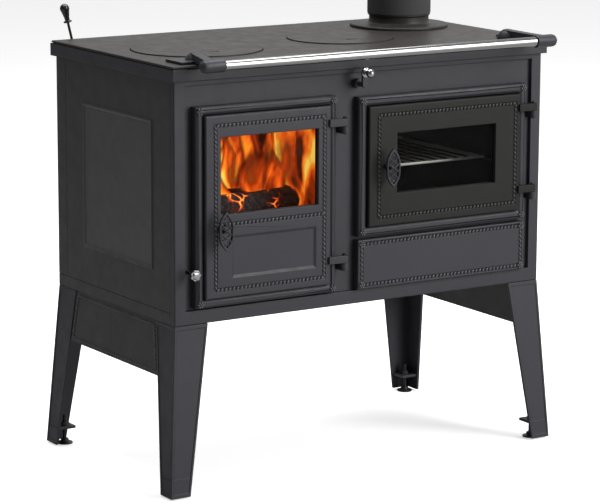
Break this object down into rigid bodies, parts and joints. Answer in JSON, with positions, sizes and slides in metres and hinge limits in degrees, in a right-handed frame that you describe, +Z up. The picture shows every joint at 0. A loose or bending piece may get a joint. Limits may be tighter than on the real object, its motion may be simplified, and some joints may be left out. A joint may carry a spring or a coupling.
{
  "type": "wood cookstove",
  "caption": "Cast-iron wood cookstove on splayed legs: glazed firebox door, glazed oven door, soot cover, hob with lids, towel rail, flue collar with a pipe stub and draught controls.",
  "frame": {"origin": "on the floor, under the centre of the bounding box", "axes": "+Z up; the front with the doors faces -Y; the oven and the flue are on the +X side"},
  "size_m": [0.923, 0.595, 1.1106],
  "materials": {
    "front_iron": "stove-blacked casting, satin, slightly bluish",
    "oven_door_iron": "stove-blacked casting, matt",
    "side_iron": "stove-blacked casting, matt",
    "hob_iron": "ground and oiled cast iron, warm grey",
    "flue_sheet": "matt heat-proof paint on sheet steel",
    "rail_steel": "polished stainless tube",
    "chrome": "bright chrome",
    "black_steel": "black finished steel",
    "black_plastic": "glossy black phenolic",
    "door_glass": "clear heat-proof glass, faintly smoked",
    "rope_seal": "glass-fibre rope",
    "firebrick": "buff firebrick, rough",
    "oven_liner": "dark enamelled sheet"
  },
  "bodies": {
    "root": {"base_plate": "side_iron", "side_panel_left": "side_iron", "side_panel_right": "side_iron", "rear_panel": "side_iron", "front_frame": "front_iron", "fire_door_surround": "front_iron", "oven_door_surround": "front_iron", "top_frame": "front_iron", "cooktop_plate": "hob_iron", "flue_collar": "hob_iron", "flue_pipe": "flue_sheet", "towel_rail": "rail_steel", "rail_bracket_left": "front_iron", "rail_bracket_right": "front_iron", "leg_front_left": "front_iron", "leg_front_right": "front_iron", "leg_rear_left": "front_iron", "leg_rear_right": "front_iron", "side_apron_left": "side_iron", "side_apron_right": "side_iron", "fire_hinge_pin_lower": "black_steel", "fire_hinge_pin_upper": "black_steel", "oven_hinge_pin_lower": "black_steel", "oven_hinge_pin_upper": "black_steel", "ash_box": "side_iron", "fire_grate": "side_iron", "firebrick_left": "firebrick", "firebrick_right": "firebrick", "firebrick_rear": "firebrick", "partition": "side_iron", "oven_box": "oven_liner", "smoke_baffle": "side_iron", "air_port_plate": "side_iron", "rear_lever_bracket": "side_iron"},
    "fire_door_body": {"fire_door": "front_iron", "fire_door_glass": "door_glass", "fire_glass_retainer": "black_steel", "fire_door_gasket": "rope_seal"},
    "oven_door_body": {"oven_door": "oven_door_iron", "oven_door_glass": "door_glass", "oven_glass_retainer": "black_steel", "oven_door_gasket": "rope_seal"},
    "fire_handle_body": {"fire_door_handle": "front_iron"},
    "oven_handle_body": {"oven_door_handle": "front_iron"},
    "lid_large_body": {"lid_large": "hob_iron"},
    "lid_small_body": {"lid_small": "hob_iron"},
    "soot_cover_body": {"soot_cover": "front_iron"},
    "rack_body": {"oven_rack": "chrome"},
    "ash_pan_body": {"ash_pan": "black_steel"},
    "damper_body": {"damper_crank": "front_iron", "damper_knob": "chrome", "damper_flap": "side_iron"},
    "air_body": {"air_knob": "chrome", "air_slide": "black_steel"},
    "lever_body": {"rear_lever": "black_steel", "rear_lever_knob": "black_plastic"},
    "foot_front_left_body": {"levelling_foot_front_left": "black_steel"},
    "foot_front_right_body": {"levelling_foot_front_right": "black_steel"},
    "foot_rear_left_body": {"levelling_foot_rear_left": "black_steel"},
    "foot_rear_right_body": {"levelling_foot_rear_right": "black_steel"}
  },
  "joints": [
    {"name": "fire_door_hinge", "type": "hinge", "parent": "root", "child": "fire_door_body", "pos_m": [-0.059, -0.233, 0.571], "axis": [0, 0, 1], "range_deg": [0, 120]},
    {"name": "oven_door_hinge", "type": "hinge", "parent": "root", "child": "oven_door_body", "pos_m": [0.4065, -0.233, 0.62], "axis": [0, 0, 1], "range_deg": [0, 120]},
    {"name": "fire_handle_turn", "type": "hinge", "parent": "fire_door_body", "child": "fire_handle_body", "pos_m": [-0.3475, -0.2445, 0.528], "axis": [0, 1, 0], "range_deg": [0, 90]},
    {"name": "oven_handle_turn", "type": "hinge", "parent": "oven_door_body", "child": "oven_handle_body", "pos_m": [0.041, -0.2445, 0.619], "axis": [0, 1, 0], "range_deg": [0, 90]},
    {"name": "lid_large_lift", "type": "slide", "parent": "root", "child": "lid_large_body", "axis": [0, 0, 1], "range_m": [0, 0.05]},
    {"name": "lid_small_lift", "type": "slide", "parent": "root", "child": "lid_small_body", "axis": [0, 0, 1], "range_m": [0, 0.05]},
    {"name": "soot_cover_pull", "type": "slide", "parent": "root", "child": "soot_cover_body", "axis": [0, -1, 0], "range_m": [0, 0.05]},
    {"name": "rack_slide", "type": "slide", "parent": "root", "child": "rack_body", "axis": [0, -1, 0], "range_m": [0, 0.06]},
    {"name": "ash_pan_slide", "type": "slide", "parent": "root", "child": "ash_pan_body", "axis": [0, -1, 0], "range_m": [0, 0.036]},
    {"name": "damper_turn", "type": "hinge", "parent": "root", "child": "damper_body", "pos_m": [-0.017, -0.233, 0.788], "axis": [0, 1, 0], "range_deg": [0, 90]},
    {"name": "air_slide_pull", "type": "slide", "parent": "root", "child": "air_body", "axis": [0, -1, 0], "range_m": [0, 0.035]},
    {"name": "rear_lever_turn", "type": "hinge", "parent": "root", "child": "lever_body", "pos_m": [-0.3875, 0.2855, 0.828], "axis": [0, 1, 0], "range_deg": [0, 45]},
    {"name": "foot_front_left_screw", "type": "slide", "parent": "root", "child": "foot_front_left_body", "axis": [0, 0, -1], "range_m": [0, 0.012]},
    {"name": "foot_front_right_screw", "type": "slide", "parent": "root", "child": "foot_front_right_body", "axis": [0, 0, -1], "range_m": [0, 0.012]},
    {"name": "foot_rear_left_screw", "type": "slide", "parent": "root", "child": "foot_rear_left_body", "axis": [0, 0, -1], "range_m": [0, 0.012]},
    {"name": "foot_rear_right_screw", "type": "slide", "parent": "root", "child": "foot_rear_right_body", "axis": [0, 0, -1], "range_m": [0, 0.012]}
  ]
}
